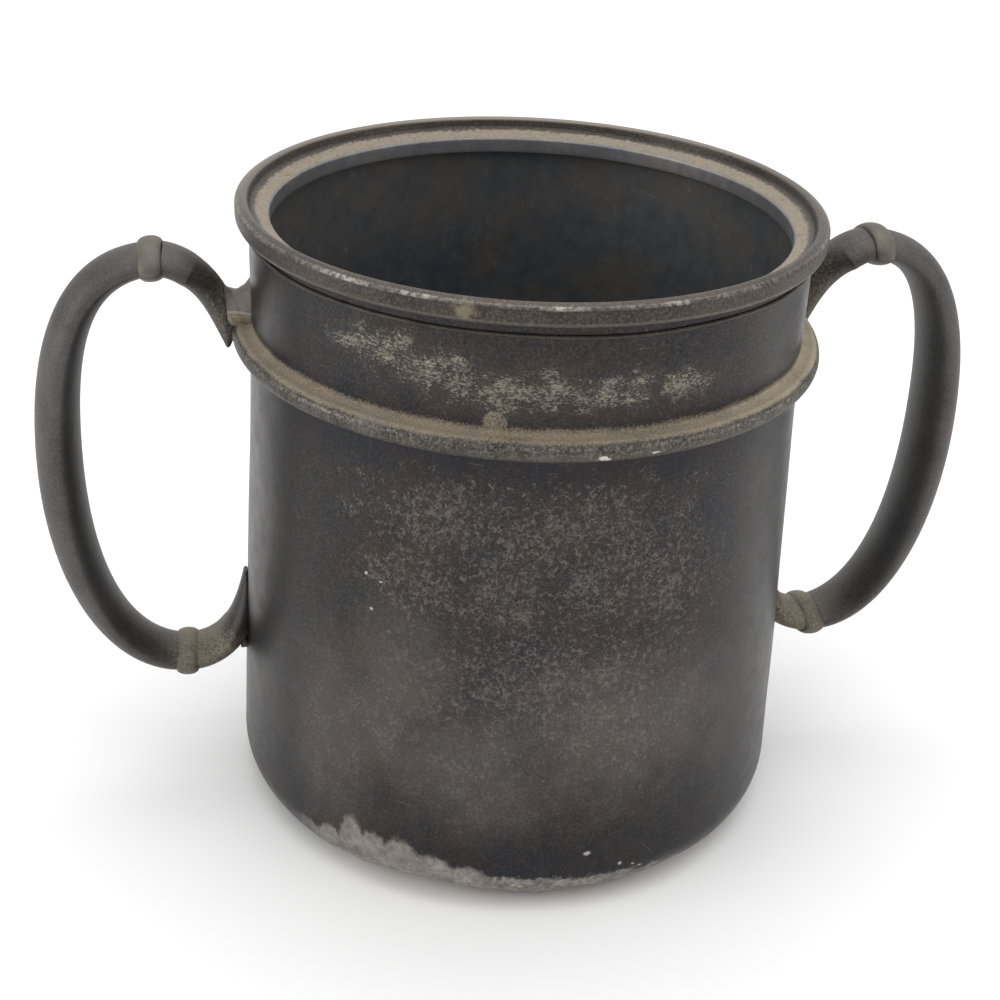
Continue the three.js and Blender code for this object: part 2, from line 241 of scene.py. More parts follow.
def turned_piece(name, outline, materials, node, tags=None, shape=None):
    """A closed outline of [radius, height] points carried once round the Z axis:
    x = r cos(angle), y = r sin(angle). shape may move each point's radius and
    height by angle first; tags gives each outline point's material."""
    angle = np.linspace(-np.pi, np.pi, AROUND, endpoint=False)[:, None]
    r = np.broadcast_to(outline[:, 0], (AROUND, len(outline)))
    z = np.broadcast_to(outline[:, 1], (AROUND, len(outline)))
    if shape:
        r, z = shape(angle, r, z)
    points = np.stack([r * np.cos(angle), r * np.sin(angle), z], -1).reshape(-1, 3)
    if tags is not None:
        tags = np.tile(tags, AROUND)
    add_piece(name, points, grid_faces(AROUND, len(outline), True), materials, node, tags)


# ---------------- soft shapes

def smooth(low, high, x):
    """0 below low, 1 above high, and an S-curve between."""
    t = np.clip((x - low) / (high - low), 0, 1)
    return t * t * (3 - 2 * t)


def waves(angle, height, seed, count=7, turns=(2, 9), rise=0.02):
    """A gentle uneven surface between about -1 and 1: the mean of several
    cosines of angle and height with fixed random turns, tilts and starts."""
    rng = np.random.default_rng(seed)
    total = 0
    for _ in range(count):
        n = rng.integers(turns[0], turns[1])
        total = total + np.cos(n * angle + rise * rng.normal() * height * n + rng.uniform(0, 6.28))
    return total / math.sqrt(count)


def neck_radius(z):
    """The wall's radius at a height: level to the girdle, then widening evenly."""
    return NECK_RADIUS + FLARE * np.maximum(0, GIRDLE_Z - z) / (GIRDLE_Z - CORNER)


CORNER_MIDDLE = float(neck_radius(CORNER)) - CORNER


def corner_arc(radius, start, end, steps):
    """[radius, height] points of an arc round the foot's corner, 0 being level
    outwards and 90 straight down, in degrees."""
    a = np.radians(np.linspace(start, end, steps))
    return np.stack([CORNER_MIDDLE + radius * np.cos(a), CORNER - radius * np.sin(a)], -1)


def cup_shape(angle, r, z):
    """The wall is not quite round, with broad swells of a fifth of a millimetre,
    and the foot's corner is knocked in here and there, square to its surface."""
    loose = smooth(8, 40, z) * (1 - smooth(100, 124, z))
    r = r + 0.16 * loose * waves(angle, z, 11)
    down = np.arctan2(CORNER - z, r - CORNER_MIDDLE)
    push = sum(depth * np.exp(-((np.degrees(angle) - middle) / half) ** 2)
               for middle, half, depth in DENTS)
    push = push * np.exp(-((np.degrees(down) - 52) / 22) ** 2) * (r > CORNER_MIDDLE)
    return r - push * np.cos(down), z + push * np.sin(down)


# ---------------- pieces

def body_wall(outside, inside):
    """Thin wall: neck, slightly flared body and the upper part of the turned-in
    foot corner, with the same line again one sheet thickness further in."""
    gap = math.degrees(GAP / 2 / CORNER)
    high = np.linspace(WALL_TOP, GIRDLE_Z, 12)
    low = np.linspace(GIRDLE_Z, CORNER, 40)[1:-1]
    z = np.concatenate([high, low])
    outer = np.concatenate([np.stack([neck_radius(z), z], -1),
                            corner_arc(CORNER, 0, WALL_END - gap, 10)])
    z = z[::-1]
    inner = np.concatenate([corner_arc(CORNER - WALL, WALL_END - gap, 0, 10),
                            np.stack([neck_radius(z) - WALL, z], -1)])
    outline = np.concatenate([outer, inner])
    tags = (np.arange(len(outline)) >= len(outer)).astype(int)
    turned_piece("cup_wall", outline, [outside, inside], "body_wall",
                 tags, cup_shape)


def base_plate(outside, inside):
    """Disc with a flat outer ring and a shallow raised middle, as rings of
    [radius, height] round the axis with one point at each centre."""
    edge = CORNER_MIDDLE + (CORNER - WALL) * math.cos(math.radians(BEAD_END)) - GAP
    flat, dome = BASE_DOME_EDGE
    r = np.concatenate([np.linspace(2, flat - 1, 12), np.linspace(flat, dome, 8),
                        np.linspace(dome + 1, edge, 8)])
    rise = BASE_DOME_RISE * (1 - smooth(flat, dome, r))
    under = np.stack([r, rise], -1)
    above = np.stack([r[::-1], rise[::-1] + WALL], -1)
    rings = np.concatenate([under, above])
    angle = np.linspace(-np.pi, np.pi, AROUND // 2, endpoint=False)
    x = rings[:, :1] * np.cos(angle)
    y = rings[:, :1] * np.sin(angle)
    z = np.broadcast_to(rings[:, 1:], x.shape)
    points = np.stack([x, y, z], -1).reshape(-1, 3)
    points = np.concatenate([points, [[0, 0, BASE_DOME_RISE], [0, 0, BASE_DOME_RISE + WALL]]])
    tags = np.concatenate([np.repeat(np.arange(len(rings) - 1) >= len(under), len(angle)),
                           np.zeros(len(angle)), np.ones(len(angle))]).astype(int)
    add_piece("base_disc", points, capped_faces(len(rings), len(angle)), [outside, inside],
              "base_plate", tags)


def base_bead(material):
    """Solder round the lower half of the corner: an arc outside, an arc inside."""
    gap = math.degrees(GAP / 2 / CORNER)
    outline = np.concatenate([corner_arc(CORNER, WALL_END + gap, BEAD_END, 10),
                              corner_arc(CORNER - WALL, BEAD_END, WALL_END + gap, 8)])
    turned_piece("foot_solder", outline, [material], "base_solder_bead",
                 shape=cup_shape)


def rim_ring(material):
    """Cast moulding: flat outer face, rounded crown, crease, sloping cove and a
    band down the inside, with a slot underneath for the wall."""
    outline = rounded([
        (RIM_RADIUS - 0.5, RIM_FACE_FOOT, 0.25),
        (RIM_RADIUS, RIM_FACE_FOOT + 0.9, 0.4),
        (RIM_RADIUS, RIM_FACE_TOP - 0.6, 0.3),
        (RIM_RADIUS - 0.4, RIM_FACE_TOP, 0.25),
        (RIM_RADIUS - 1.9, RIM_TOP, 0.6),
        (RIM_RADIUS - 3.0, RIM_TOP - 0.5, 0.5),
        (*RIM_CREASE, 0.45),
        (RIM_OPENING + 0.4, RIM_BAND_TOP + 0.5, 0.25),
        (RIM_OPENING, RIM_BAND_TOP, 0.25),
        (RIM_OPENING, RIM_SKIRT_Z, 0.4),
        (NECK_RADIUS - WALL - GAP, RIM_SKIRT_Z, 0.3),
        (NECK_RADIUS - WALL - GAP, WALL_TOP + GAP, 0.15),
        (NECK_RADIUS + GAP, WALL_TOP + GAP, 0.15),
        (NECK_RADIUS + GAP, RIM_FACE_FOOT + 0.2, 0.3),
    ], spacing=1.2)
    turned_piece("rim_moulding", outline, [material], "rim_ring")


def solder_line(name, top, node, material):
    """A thin three-sided thread of solder round the wall."""
    middle, low = top - 0.45, top - 0.9
    outline = rounded([
        (NECK_RADIUS + GAP, top, 0.1), (float(neck_radius(low)) + GAP, low, 0.1),
        (float(neck_radius(middle)) + 0.8, middle, 0.3)], spacing=3.0)

    def uneven(angle, r, z):
        return r, z + 0.12 * waves(angle, z, 5, turns=(3, 25))

    turned_piece(name, outline, [material], node, shape=uneven)


def girdle_nose(grow=0.0):
    """Outer half of the ring's section: an elliptical arc from bottom to top."""
    half, nose = GIRDLE_HALF + grow, GIRDLE_PROUD * 0.55 + grow
    middle = NECK_RADIUS + GIRDLE_PROUD + grow - nose
    a = np.radians(np.linspace(-90, 90, 25))
    return np.stack([middle + nose * np.cos(a), GIRDLE_Z + half * np.sin(a)], -1)


def girdle_outline():
    """Half-round section with its back in the wall. On top, a hollow curve of
    settled dust fills the corner between the ring and the neck."""
    nose = girdle_nose()
    corner = NECK_RADIUS - 0.2
    t = np.linspace(0, 1, 9)[1:, None]
    start, bend, end = nose[-3], np.array(DUST_BEND), np.array([corner, DUST_TOP_Z])
    fillet = curve(start, bend, end, t)
    back = np.stack([np.full(4, corner), np.linspace(DUST_BEND[1], GIRDLE_Z - GIRDLE_HALF, 4)], -1)
    return np.concatenate([nose[:-2], fillet, back])


def girdle_ring(material):
    """Ring of half-round section round the neck, lying a little unevenly."""

    def uneven(angle, r, z):
        return r, z + 0.15 * waves(angle, z * 0, 21, turns=(1, 6))

    turned_piece("girdle", girdle_outline(), [material], "girdle_ring",
                 shape=uneven)


# ---------------- handles

def bezier(a, b, c, d):
    """Points on the cubic curve from a to d that heads for b and comes from c."""
    t = np.linspace(0, 1, LINE_STEPS)[:, None]
    a, b, c, d = (np.array(p, float) for p in (a, b, c, d))
    return (1 - t) ** 3 * a + 3 * (1 - t) ** 2 * t * b + 3 * (1 - t) * t ** 2 * c + t ** 3 * d


def handle_line():
    """The bar's centreline as [x, z] points: four cubic curves from the tongue
    tip over the upper knuckle, round the bow, through the lower knuckle to the
    tail tip. Also the distances of the two knuckles along it."""
    up, wide, low = np.array(UPPER_KNUCKLE), np.array(WIDEST), np.array(LOWER_KNUCKLE)
    tongue, tail = np.array(TONGUE_TIP), np.array(TAIL_TIP)
    out_top = (wide[0] - up[0]) * FULL_TOP
    out_low = (wide[0] - low[0]) * FULL_BOTTOM
    fall_top = (up[1] - wide[1]) * FULL_TOP
    fall_low = (wide[1] - low[1]) * FULL_BOTTOM
    parts = [
        bezier(tongue, tongue + (-0.3, 15.4), up + (-6.8, 6.8 * TOP_SLOPE), up),
        bezier(up, up + (out_top, -out_top * TOP_SLOPE), wide + (0, fall_top), wide),
        bezier(wide, wide - (0, fall_low), low + (out_low, 0), low),
        bezier(low, low + (-5.8, 0), tail + (-1.2, -21), tail),
    ]
    points = np.concatenate([parts[0]] + [p[1:] for p in parts[1:]])
    distance = np.concatenate([[0], np.cumsum(np.linalg.norm(np.diff(points, axis=0), axis=1))])
    first = LINE_STEPS - 1
    return points, distance, distance[first], distance[3 * first]


LINE, DISTANCE, AT_UPPER, AT_LOWER = handle_line()


def line_at(d):
    """Centre and direction of the bar at distances along its line."""
    centre, ahead, behind = (
        np.stack([np.interp(d + step, DISTANCE, LINE[:, k]) for k in (0, 1)], -1)
        for step in (0, 0.2, -0.2))
    along = ahead - behind
    return centre, along / np.linalg.norm(along, axis=1, keepdims=True)


def bar_section():
    """Unit section of the bar as (out, across) pairs: a pointed oval whose side
    ridges lie a little inside the middle. The rise blends |sine| and sine squared."""
    a = np.linspace(0, 2 * np.pi, BAR_AROUND, endpoint=False)
    rise = (1 - RIDGE_SHARP) * np.abs(np.sin(a)) + RIDGE_SHARP * np.sin(a) ** 2
    share = np.where(np.sin(a) >= 0, 0.5 + RIDGE_OFFSET, -(0.5 - RIDGE_OFFSET))
    return share * rise - RIDGE_OFFSET, 0.5 * np.cos(a)


def to_side(points, side):
    """The points turned round Z to the right or left handle's place."""
    turn = math.radians(SETBACK if side == "right" else 180 - SETBACK)
    x = points[:, 0] * math.cos(turn) - points[:, 1] * math.sin(turn)
    y = points[:, 0] * math.sin(turn) + points[:, 1] * math.cos(turn)
    return np.stack([x, y, points[:, 2]], -1)


def swept_bar(name, side, start, end, steps, size, material, node,
              straight=False, keep_out=None):
    """The bar's section carried along the handle's line from one distance to
    another, or straight along the line's direction at the middle of that
    stretch. size(share) gives thickness and width. Both ends close on a middle
    point. keep_out moves points that fall in the cup."""
    share = np.linspace(0, 1, steps)
    distance = start + (end - start) * share
    centre, along = line_at(distance)
    if straight:
        middle, ahead = line_at(np.array([(start + end) / 2]))
        centre = middle + ahead * (distance - (start + end) / 2)[:, None]
        along = np.broadcast_to(ahead, centre.shape)
    thick, wide = size(share)
    out = np.stack([-along[:, 1], along[:, 0]], -1)  # away from the middle of the loop
    u, v = bar_section()
    x = centre[:, :1] + out[:, :1] * u * thick[:, None]
    z = centre[:, 1:] + out[:, 1:] * u * thick[:, None]
    y = v * wide[:, None]
    rings = np.stack([x, y, z], -1)
    first, last = rings[:1].mean(1, keepdims=True), rings[-1:].mean(1, keepdims=True)
    near_start = first + (rings[:1] - first) * 0.5
    near_end = last + (rings[-1:] - last) * 0.5
    rings = np.concatenate([near_start, rings, near_end])
    points = np.concatenate([rings.reshape(-1, 3), first[0], last[0]])
    if keep_out:
        points = keep_out(points)
    add_piece(name, to_side(points, side), capped_faces(len(rings), BAR_AROUND), [material],
              node, sharp=50.0)


def outside_cup(points):
    """Points inside the wall or the girdle move straight out to its surface."""
    girdle = girdle_nose()
    r = np.hypot(points[:, 0], points[:, 1])
    z = points[:, 2]
    on_girdle = np.interp(z, girdle[:, 1], girdle[:, 0], left=0, right=0)
    least = np.maximum(neck_radius(z), on_girdle) - SOLDERED
    scale = np.maximum(1, least / np.maximum(r, 1e-6))
    return points * np.stack([scale, scale, np.ones_like(scale)], -1)


def bow_size(s):
    """Thickness and width of the bow: swelling by a half sine to the middle."""
    swell = np.sin(np.pi * s)
    return BAR_THICK + (BAR_THICK_BOW - BAR_THICK) * swell, BAR_WIDE + (BAR_WIDE_BOW - BAR_WIDE) * swell


def bracket_size(s, taper):
    """Thickness and width of a bracket, falling to its tip by powers of the
    share of the way from where the taper starts."""
    start, thick_fall, wide_fall = taper
    fall = np.maximum(0, s - start) / (1 - start)
    return (BAR_THICK + (TIP_THICK - BAR_THICK) * fall ** thick_fall,
            BAR_WIDE + (TIP_WIDE - BAR_WIDE) * fall ** wide_fall)


def knuckle_size(s):
    """Thickness and width of a knuckle: the bar's, plus a barrel-shaped rise."""
    proud = 0.1 + KNUCKLE_PROUD * (1 - np.abs(2 * s - 1) ** 2.2) ** 0.7
    return BAR_THICK + 2 * proud, BAR_WIDE + 2 * proud


def handle(side, bar, knuckle, solder):
    """Bow, two knuckles and two brackets along the one line, with the solder.
    The bars run a little way under the knuckle bands."""
    half, under = KNUCKLE_LONG / 2, 0.5
    swept_bar(f"{side}_bow", side, AT_UPPER + half - under, AT_LOWER - half + under, 220, bow_size,
              bar, f"{side}_handle_bow")
    for level, middle in (("upper", AT_UPPER), ("lower", AT_LOWER)):
        swept_bar(f"{side}_{level}_knuckle_band", side, middle - half, middle + half, 25,
                  knuckle_size, knuckle, f"{side}_{level}_knuckle",
                  straight=True)
    swept_bar(f"{side}_tongue", side, 0, AT_UPPER - half + under, 120,
              lambda s: bracket_size(1 - s, UPPER_TAPER), bar,
              f"{side}_upper_bracket", keep_out=outside_cup)
    swept_bar(f"{side}_tail", side, AT_LOWER + half - under, DISTANCE[-1], 120,
              lambda s: bracket_size(s, LOWER_TAPER), bar,
              f"{side}_lower_bracket", keep_out=outside_cup)
    solder_web(f"{side}_upper_web", side, *UPPER_WEB, solder, f"{side}_upper_solder")
    solder_web(f"{side}_lower_web", side, *LOWER_WEB, solder, f"{side}_lower_solder")


def solder_web(name, side, reach, level, half_width, seed, material, node):
    """A bridge of solder from the cup to a bracket: a rounded block carried
    outwards between two radii, hollowed on top in the middle, widening towards
    the cup like a fillet, its surface varied by seeded cosines."""
    rows, columns = WEB_STEPS
    s = np.linspace(0, 1, rows)[:, None]
    a = np.linspace(0, 2 * np.pi, columns, endpoint=False)[None, :]
    across = np.sign(np.cos(a)) * np.abs(np.cos(a)) ** 0.75
    up = np.sign(np.sin(a)) * np.abs(np.sin(a)) ** 0.75
    uneven = 1 + 0.04 * waves(a, s * 40, seed, turns=(2, 6), rise=0.05)
    top = level[1] + 0.32 * (level[1] - level[0]) * np.abs(2 * s - 1) ** 1.6
    middle, half = (top + level[0]) / 2, (top - level[0]) / 2
    y = (half_width[1] + (half_width[0] - half_width[1]) * (1 - s) ** 2.5) * across * uneven
    z = middle + half * up * uneven
    x = np.broadcast_to(reach[0] + (reach[1] - reach[0]) * s, y.shape)
    grid = np.stack([x, y, z], -1).reshape(-1, 3)
    ends = np.stack([grid[:columns].mean(0), grid[-columns:].mean(0)])
    add_piece(name, to_side(np.concatenate([grid, ends]), side), capped_faces(rows, columns),
              [material], node, sharp=70.0)


# ---------------- node building

def colour(text):
    """A colour written as six hex digits, as Blender's linear values."""
    values = [int(text[k:k + 2], 16) / 255 for k in (0, 2, 4)]
    linear = [v / 12.92 if v <= 0.04045 else ((v + 0.055) / 1.055) ** 2.4 for v in values]
    return (*linear, 1.0)


class Builder:
    """Short ways to add nodes to one node tree. Inputs may be numbers, colours
    as hex digits, or other nodes' outputs."""

    def __init__(self, tree):
        self.tree = tree

    def put(self, socket, value):
        if isinstance(value, bpy.types.NodeSocket):
            self.tree.links.new(value, socket)
        else:
            socket.default_value = colour(value) if isinstance(value, str) else value

    def node(self, kind, inputs=(), **settings):
        node = self.tree.nodes.new(kind)
        for key, value in settings.items():
            setattr(node, key, value)
        for key, value in dict(inputs).items():
            self.put(node.inputs[key], value)
        return node

    def math(self, operation, *values, clamp=False):
        node = self.node("ShaderNodeMath", enumerate(values), operation=operation, use_clamp=clamp)
        return node.outputs[0]

    def fold(self, operation, value, others):
        for other in others:
            value = self.math(operation, value, other)
        return value

    def add(self, value, *others):
        return self.fold("ADD", value, others)

    def mul(self, value, *others):
        return self.fold("MULTIPLY", value, others)

    def most(self, value, *others):
        return self.fold("MAXIMUM", value, others)

    def sub(self, a, b, clamp=False):
        return self.math("SUBTRACT", a, b, clamp=clamp)

    def inverse(self, value):
        return self.math("DIVIDE", 1.0, value)

    def step(self, value, low, high, out_low=0.0, out_high=1.0):
        """An S-curve from out_low at low to out_high at high."""
        values = enumerate((value, low, high, out_low, out_high))
        return self.node("ShaderNodeMapRange", values, interpolation_type="SMOOTHSTEP").outputs[0]

    def band(self, value, rise, fall):
        """1 within a band: an S-curve up over rise and down over fall."""
        return self.mul(self.step(value, *rise), self.step(value, *fall))

    def mix(self, factor, a, b):
        """Colour a, going over to colour b as the factor goes from 0 to 1."""
        return self.node("ShaderNodeMix", {0: factor, 6: a, 7: b}, data_type="RGBA").outputs[2]

    def over(self, base, top, mask, share):
        """A share of the top colour laid over the base where the mask is."""
        return self.mix(self.mul(mask, share), base, top)

    def noise(self, vector, scale, detail=2.0, roughness=0.5, distortion=0.0):
        return self.node("ShaderNodeTexNoise", {
            "Vector": vector, "Scale": scale, "Detail": detail,
            "Roughness": roughness, "Distortion": distortion}).outputs["Fac"]

    def stretch(self, vector, scale, offset=(0, 0, 0)):
        return self.node("ShaderNodeMapping", {
            "Vector": vector, "Scale": scale, "Location": offset}).outputs["Vector"]

    def part(self, vector, axis):
        return self.node("ShaderNodeSeparateXYZ", {"Vector": vector}).outputs[axis]

    def vector(self, x=0.0, y=0.0, z=0.0):
        return self.node("ShaderNodeCombineXYZ", {"X": x, "Y": y, "Z": z}).outputs[0]

    def use(self, group, position=None, **inputs):
        """The output of a node group, or all of them when it has several."""
        node = self.node("ShaderNodeGroup", node_tree=group)
        if position is not None:
            self.put(node.inputs["Position"], position)
        for key, value in inputs.items():
            self.put(node.inputs[key.replace("_", " ").title()], value)
        return node.outputs[0] if len(node.outputs) == 1 else node.outputs


def new_group(name, inputs, outputs):
    """A builder for a new node group, with its inputs and its outputs. Both are
    given as names with first values, None standing for a vector."""
    tree = bpy.data.node_groups.new(name, "ShaderNodeTree")
    for way, sockets in (("INPUT", inputs), ("OUTPUT", outputs)):
        for label, value in sockets.items():
            kind = "NodeSocketVector" if value is None else "NodeSocketFloat"
            socket = tree.interface.new_socket(label, in_out=way, socket_type=kind)
            if value is not None:
                socket.default_value = value
    given, out = tree.nodes.new("NodeGroupInput"), tree.nodes.new("NodeGroupOutput")
    return Builder(tree), given.outputs, out.inputs


def effect(make, **inputs):
    """A node group with a position and some numbers going in and one mask
    coming out, worked out by make(builder, position, inputs)."""
    named = {label.replace("_", " "): value for label, value in inputs.items()}
    b, given, out = new_group(make.__name__, {"Position": None, **named}, {"Mask": 0.0})
    b.put(out["Mask"], make(b, given["Position"], given))
    return b.tree


# ---------------- shared effects

def make_place_group():
    """Where a point lies on the cup, in millimetres and degrees. Unrolled holds
    the length round the wall, the height and the radius."""
    b, _, out = new_group("place_on_cup", {}, {
        "Position": None, "Unrolled": None, "Angle": 0.0, "Height": 0.0, "Radius": 0.0})
    place = b.stretch(b.node("ShaderNodeTexCoord").outputs["Object"], (1 / MM, 1 / MM, 1 / MM))
    x, y, z = (b.part(place, axis) for axis in "XYZ")
    angle = b.mul(b.math("ARCTAN2", y, x), math.degrees(1))
    radius = b.math("SQRT", b.add(b.mul(x, x), b.mul(y, y)))
    b.put(out["Position"], place)
    b.put(out["Unrolled"], b.vector(b.mul(angle, math.radians(1) * WALL_MIDDLE), z, radius))
    b.put(out["Angle"], angle)
    b.put(out["Height"], z)
    b.put(out["Radius"], radius)
    return b.tree


def patch(b, here, given):
    """An oval patch at an angle and height: the distance from its centre, in
    shares of its half sizes and bent by noise, cut off softly at 1."""
    across = b.math("DIVIDE", b.sub(given["Angle"], given["Centre Angle"]), given["Half Width"])
    up = b.math("DIVIDE", b.sub(given["Height"], given["Centre Height"]), given["Half Height"])
    distance = b.math("SQRT", b.add(b.mul(across, across), b.mul(up, up)))
    rough = b.noise(here, b.inverse(given["Ragged Size"]), 4, 0.6)
    bent = b.add(distance, b.mul(b.sub(rough, 0.5), b.mul(given["Ragged"], 2)))
    return b.step(bent, b.sub(1, given["Softness"]), b.add(1, given["Softness"]), 1.0, 0.0)


def blotches(b, here, given):
    """Uneven cloudy tarnish, 0 to 1."""
    cloud = b.noise(here, b.inverse(given["Size"]), 5, 0.62, 0.35)
    half = b.math("DIVIDE", 0.25, given["Contrast"])
    return b.step(cloud, b.sub(0.5, half), b.add(0.5, half))


def curls(b, here, given):
    """Fine pale curls and rings, as left by pitting: thin contour lines of a
    small cloud pattern, broken up by a second one."""
    scale = b.inverse(given["Size"])
    cloud = b.noise(here, scale, 2, 0.5, 0.6)
    line = b.step(b.math("ABSOLUTE", b.sub(cloud, 0.5)), 0.02, 0.09, 1.0, 0.0)
    breaks = b.noise(here, b.mul(scale, 0.85), 4, 0.65)
    edge = b.sub(0.68, b.mul(given["Cover"], 0.30))
    return b.mul(line, b.step(breaks, edge, b.add(edge, 0.16)))


def flecks(b, here, given):
    """Small irregular flecks; Cover sets how many."""
    grain = b.noise(here, b.inverse(given["Size"]), 3, 0.65, 0.2)
    edge = b.sub(0.75, b.mul(given["Cover"], 0.5))
    return b.step(grain, b.sub(edge, given["Edge"]), b.add(edge, given["Edge"]))


def worn_specks(b, here, given):
    """Rubbed metal: fine specks of differing brightness that gather in clumps;
    Amount sets how thick they lie."""
    scale = b.inverse(given["Size"])
    fine = b.noise(here, scale, 2, 0.55, 0.4)
    clump = b.noise(here, b.mul(scale, 0.16), 3, 0.6)
    level = b.add(b.mul(fine, 0.6), b.mul(clump, 0.4))
    return b.step(b.add(level, b.mul(b.sub(given["Amount"], 1.0), 0.24)), 0.46, 0.64)


def scratches(b, here, given):
    """Short straight scratches in one direction: a cloud pattern stretched long
    and thin, of which only the very highest parts show."""
    turned = b.node("ShaderNodeMapping", {
        "Vector": here, "Rotation": b.vector(z=given["Turn"])}).outputs[0]
    size = b.vector(b.inverse(given["Length"]), b.inverse(given["Width"]), 0.2)
    placed = b.node("ShaderNodeVectorMath", {0: turned, 1: size}, operation="MULTIPLY").outputs[0]
    edge = b.sub(0.86, b.mul(given["Cover"], 0.3))
    return b.step(b.noise(placed, 1.0, 1, 0.4, 0.1), edge, b.add(edge, 0.06))


def dust(b, here, given):
    """Settled dust: an amount from 0 to 1 turned into a grainy edge."""
    fine = b.noise(here, b.inverse(given["Grain"]), 3, 0.7)
    broad = b.noise(here, 0.12, 3, 0.55)
    level = b.add(given["Amount"], b.mul(b.sub(fine, 0.5), 1.3))
    level = b.add(level, b.mul(b.sub(broad, 0.5), 0.5))
    return b.mul(b.step(level, 0.25, 0.8), b.step(given["Amount"], 0.0, 0.15))


PLACE = make_place_group()
PATCH = effect(patch, Angle=0, Height=0, Centre_Angle=0, Centre_Height=0, Half_Width=10,
               Half_Height=10, Softness=0.3, Ragged=0.3, Ragged_Size=6)
BLOTCH = effect(blotches, Size=20, Contrast=1)
CURL = effect(curls, Size=1.5, Cover=0.5)
FLECK = effect(flecks, Size=0.8, Cover=0.3, Edge=0.06)
WORN = effect(worn_specks, Size=0.45, Amount=0.5)
SCRATCH = effect(scratches, Turn=0, Length=8, Width=0.35, Cover=0.2)
DUST = effect(dust, Amount=0.5, Grain=0.5)


# ---------------- materials

def new_material(name):
    """An empty material, its builder, the place-on-cup outputs and the position."""
    material = bpy.data.materials.new(name)
    material.use_nodes = True
    material.node_tree.nodes.clear()
    b = Builder(material.node_tree)
    at = b.use(PLACE)
    return material, b, at, at["Position"]


def surface(material, b, base, metallic, roughness, height, strength, depth=0.0004):
    """The material, given its colour, metallic share, roughness and a bump: a
    height pattern, its strength and its depth in metres."""
    bump = b.node("ShaderNodeBump", {"Height": height, "Strength": strength, "Distance": depth})
    shader = b.node("ShaderNodeBsdfPrincipled", {
        "Base Color": base, "Metallic": metallic, "Roughness": roughness,
        "Normal": bump.outputs["Normal"]})
    b.node("ShaderNodeOutputMaterial", {"Surface": shader.outputs[0]})
    return material


def patch_mask(b, at, angle, height, half_width, half_height, soft=0.3, ragged=0.3, size=6.0):
    return b.use(PATCH, at["Position"], angle=at["Angle"], height=at["Height"],
                 centre_angle=angle, centre_height=height, half_width=half_width,
                 half_height=half_height, softness=soft, ragged=ragged, ragged_size=size)


# rubbed areas of the neck: centre angle, centre height, half width, half height
NECK_RUBS = [(-131, 144, 12, 5.0), (-119, 142, 12, 6.0), (-104, 139, 16, 5.5),
             (-86, 139, 12, 5.0), (-72, 139, 9, 4.0)]
# pitted areas of the body
BODY_RUBS = [(-114, 107, 22, 11), (-92, 106, 28, 13), (-84, 93, 20, 17), (-100, 90, 18, 20),
             (-72, 90, 15, 20), (-98, 68, 24, 20), (-120, 92, 15, 14), (-82, 62, 20, 22)]
# smoother, lighter clouded areas of the body
LIGHT_AREAS = [(-129, 49, 9, 15), (-124, 62, 10, 14), (-110, 42, 16, 14), (-78, 50, 22, 16),
               (-138, 40, 9, 22), (-127, 52, 7, 12)]
# pale bare solder at the foot
FOOT_PATCHES = [(-138.5, 4, 4.0, 9), (-133.0, 4, 3.6, 15), (-128.0, 4, 5.0, 12.5),
                (-122.0, 4, 5.5, 13.0), (-115.5, 4, 6.5, 10.5), (-108, 4, 6, 8.8)]
# pale chips: angle, height, half width, half height
CHIPS = [(-84.7, 16.9, 0.6, 0.5), (-77.5, 11.8, 0.35, 0.5), (-72.7, 9.3, 0.4, 0.3),
         (-74.5, 10.5, 0.3, 0.3), (-97.5, 7.6, 0.6, 0.25), (-99.0, 8.2, 0.35, 0.25),
         (-131.5, 88.4, 0.3, 0.35), (-128.2, 87.2, 0.28, 0.25), (-130.0, 79.5, 0.35, 0.3)]
# brightest worn places on the rim's edge
WORN_EDGES = [(-95.5, 159.4, 3.0, 2), (-76.0, 159.4, 2.0, 2), (-136.0, 159.4, 5.0, 2),
              (-122.0, 159.4, 3.0, 2)]
# white chips on the girdle
RIDGE_CHIPS = [(-88.0, 125.7, 0.8, 0.6), (-87.2, 125.3, 0.5, 0.35), (-78.6, 126.0, 0.6, 0.25)]


def patches(b, at, places, **look):
    """Several patches in one mask."""
    return b.most(*(patch_mask(b, at, *place, **look) for place in places))


def foot_masks(b, at):
    """Bare solder round the foot: the big ragged patch at the left front, and a
    thinner strip that runs on along the edge and fades."""
    patch = patches(b, at, FOOT_PATCHES, soft=0.1, ragged=0.16, size=1.6)
    uneven = b.mul(b.sub(b.noise(at["Position"], 0.35, 4, 0.6), 0.5), 7)
    top = b.step(at["Angle"], -105, -45, 10.8, 6.4)
    strip = b.step(b.sub(b.add(at["Height"], uneven), top), -0.8, 0.6, 1.0, 0.0)
    strip = b.mul(strip, patch_mask(b, at, -98, 4, 46, 60, soft=0.25, ragged=0.3, size=12.0))
    broken = b.step(b.noise(at["Position"], 0.55, 4, 0.7), 0.36, 0.6, 0.5, 1.0)
    return b.most(b.mul(patch, b.add(0.5, b.mul(broken, 0.4))), b.mul(strip, broken))


def bare_solder(b, here):
    """Colour of the bare solder: warm grey, clouded, with fine darker specks."""
    cloud = b.use(BLOTCH, here, size=5.0)
    base = b.mix(cloud, "77726d", "a8a29a")
    dark = b.use(FLECK, here, size=0.9, cover=0.36, edge=0.1)
    return b.mix(b.mul(dark, 0.4), base, "5f5a56")


